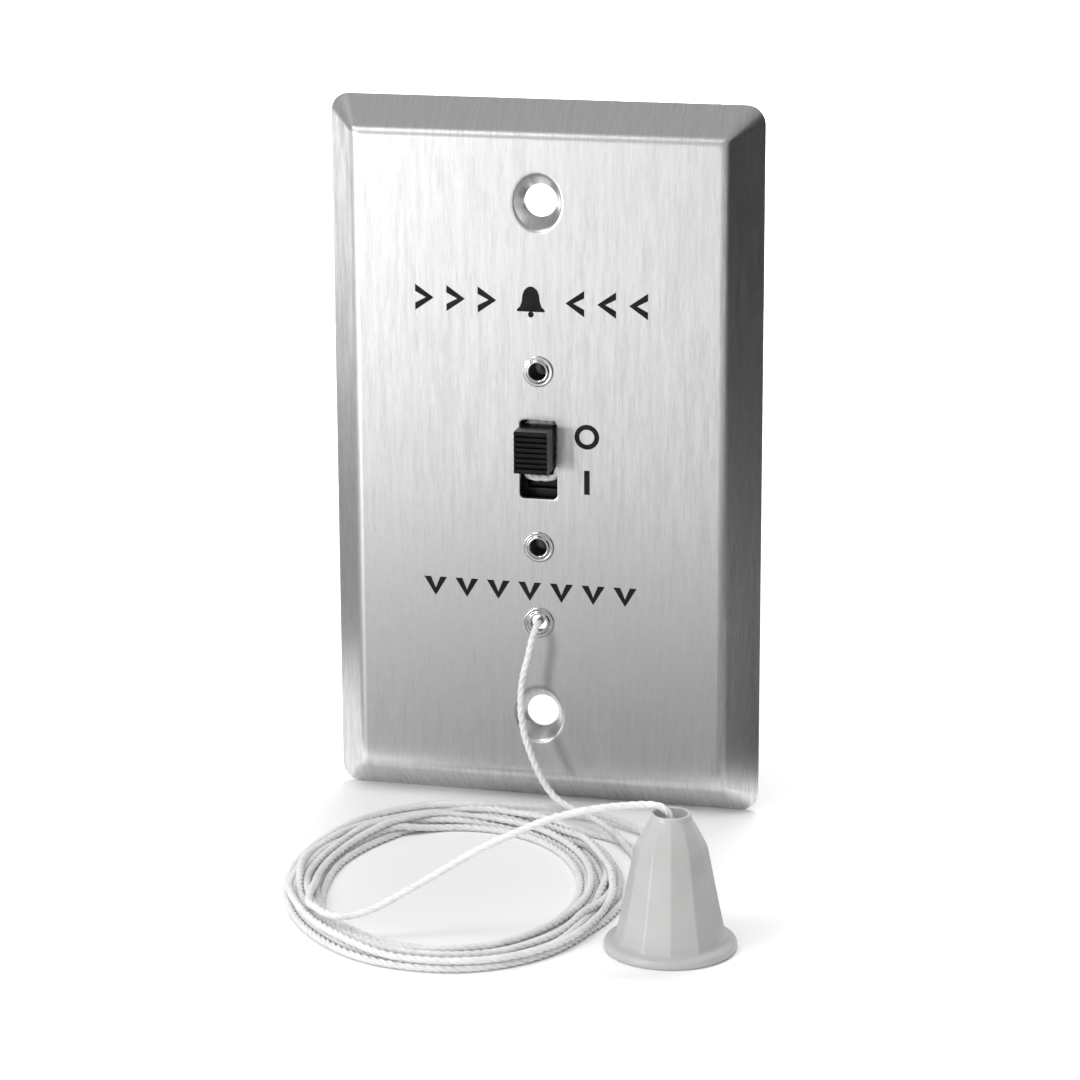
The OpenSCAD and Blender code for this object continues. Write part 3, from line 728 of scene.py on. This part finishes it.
def bell_mark(x, z, s):
    """A bell and its clapper, s times four units wide."""
    side = [(0, 2.05), (0.42, 1.95), (0.95, 1.5), (1.2, 0.8), (1.3, -0.1), (1.55, -0.85), (2.0, -1.25),
            (2.0, -1.55)]
    outline = [(x + a * s, z + b * s) for a, b in reversed(side)]
    outline += [(x - a * s, z + b * s) for a, b in side[1:]]
    return join(prism(outline), prism(disc(x, z - 1.95 * s, 0.42 * s, 20)))


def chevron(x, z, w, h, t, turn=0):
    """An arrowhead of half width w, height h and strokes t wide, pointing down before its quarter turns."""
    side = [(-w, h), (-w + 1.25 * t, h), (0, 0.9 * t), (w - 1.25 * t, h), (w, h), (0, -0.45 * t)]
    c, q = ((1, 0), (0, 1), (-1, 0), (0, -1))[turn]
    return prism([(x + c * a - q * (b - h / 2), z + q * a + c * (b - h / 2)) for a, b in side])


WARNING_Z, WARNING_PITCH = 26.0, 5.1                    # the row above the switch
CALL_Z, CALL_PITCH = -20.95, 5.2                        # the row above the cord's eyelet
OFF_X, OFF_Z = 7.9, 4.7                                 # the ring beside the slide's upper place
marks = [bell_mark(-1.1, WARNING_Z + 0.15, 1.12)]
for k in range(3):
    marks += [chevron(-18.6 + WARNING_PITCH * k, WARNING_Z, 2.1, 2.6, 0.95, 1),
              chevron(16.4 - WARNING_PITCH * k, WARNING_Z, 2.1, 2.6, 0.95, 3)]
marks.append(prism(disc(OFF_X, OFF_Z, 2.0), disc(OFF_X, OFF_Z, 1.22)))
marks.append(bar(7.45, 8.35, -4.65, -0.75))             # on
for k in range(-3, 4):
    marks.append(chevron(-1.5 + CALL_PITCH * k, CALL_Z, 1.9, 2.7, 0.9))
legend = add("legend_marks", *join(*marks), INK, "plate", "knob_black", smooth=False)
bm = bmesh.new()
bm.from_mesh(legend.data)
bmesh.ops.recalc_face_normals(bm, faces=bm.faces)
bm.to_mesh(legend.data)
bm.free()

# ---------------------------------------------------------------- floor and light
floor_mat = plastic("floor_white", (0.93, 0.93, 0.93), (0.96, 0.96, 0.96), 0.75, spec=0.2, bumpiness=0.02,
                    scale=60)
FLOOR_HALF = 6000
SQUARE = ((-1, -1), (1, -1), (1, 1), (-1, 1))
floor = add("floor", [(sx * FLOOR_HALF, sy * FLOOR_HALF, FOOT) for sx, sy in SQUARE], [(0, 1, 2, 3)],
            floor_mat, None)

scene = bpy.context.scene
scene.view_settings.view_transform = "Standard"
world = bpy.data.worlds.new("studio")
scene.world = world
world.use_nodes = True
world.node_tree.nodes["Background"].inputs["Color"].default_value = (1, 1, 1, 1)
world.node_tree.nodes["Background"].inputs["Strength"].default_value = 0.42


def lamp(name, place, target, size, power):
    """A square soft light, in metres and watts."""
    data = bpy.data.lights.new(name, "AREA")
    data.energy = power
    data.shape = "RECTANGLE"
    data.size, data.size_y = size, size
    obj = bpy.data.objects.new(name, data)
    scene.collection.objects.link(obj)
    obj.location = place
    obj.rotation_euler = (Vector(target) - Vector(place)).to_track_quat("-Z", "Y").to_euler()
    return obj


def card(name, place, target, size_x, size_y, mat):
    """A studio card out of the picture, seen only by reflections."""
    q = (Vector(target) - Vector(place)).to_track_quat("-Z", "Y").to_matrix()
    corners = [Vector(place) + q @ Vector((sx * size_x / 2, sy * size_y / 2, 0)) for sx, sy in SQUARE]
    obj = add(name, [c / MM for c in corners], [(0, 1, 2, 3)], mat, None)
    obj.visible_camera = obj.visible_diffuse = obj.visible_shadow = obj.visible_transmission = False
    return obj


def card_paint(name, dark, light):
    return plastic(name, (dark,) * 3, (light,) * 3, 0.9, spec=0.1, bumpiness=0.02, scale=40)


BLACK_CARD = card_paint("card_black", 0.01, 0.02)
DARK_CARD = card_paint("card_dark", 0.07, 0.09)
FRONT_CARD = card_paint("card_front", 0.25, 0.29)
GREY_CARD = card_paint("card_grey", 0.17, 0.21)
card("card_right", (0.32, -0.06, 0.03), (0, 0, 0), 0.45, 0.45, BLACK_CARD)
card("card_right_low", (0.195, -0.03, -0.0555), (0.195, -0.03, 1), 0.30, 0.40, DARK_CARD)
card("card_left_low", (-0.22, 0.07, -0.0555), (-0.22, 0.07, 1), 0.26, 0.30, GREY_CARD)
card("card_front_low", (-0.01, -0.085, -0.052), (-0.01, -0.085, 1), 0.42, 0.15, FRONT_CARD)
lamp("key_top_left", (-0.75, -0.85, 1.15), (0, 0, 0), 0.5, 5.5)
lamp("front_low", (-0.72, -1.06, 0.06), (0, 0, 0.03), 0.24, 5.4)
fill = lamp("overhead_fill", (0.0, -0.25, 1.3), (0, -0.1, 0), 1.1, 7.6)
fill.visible_glossy = False
behind = lamp("floor_behind", (0.0, 2.2, 1.6), (0, 1.9, -0.05), 2.6, 95)
behind.visible_glossy = False
behind.data.spread = math.radians(60)
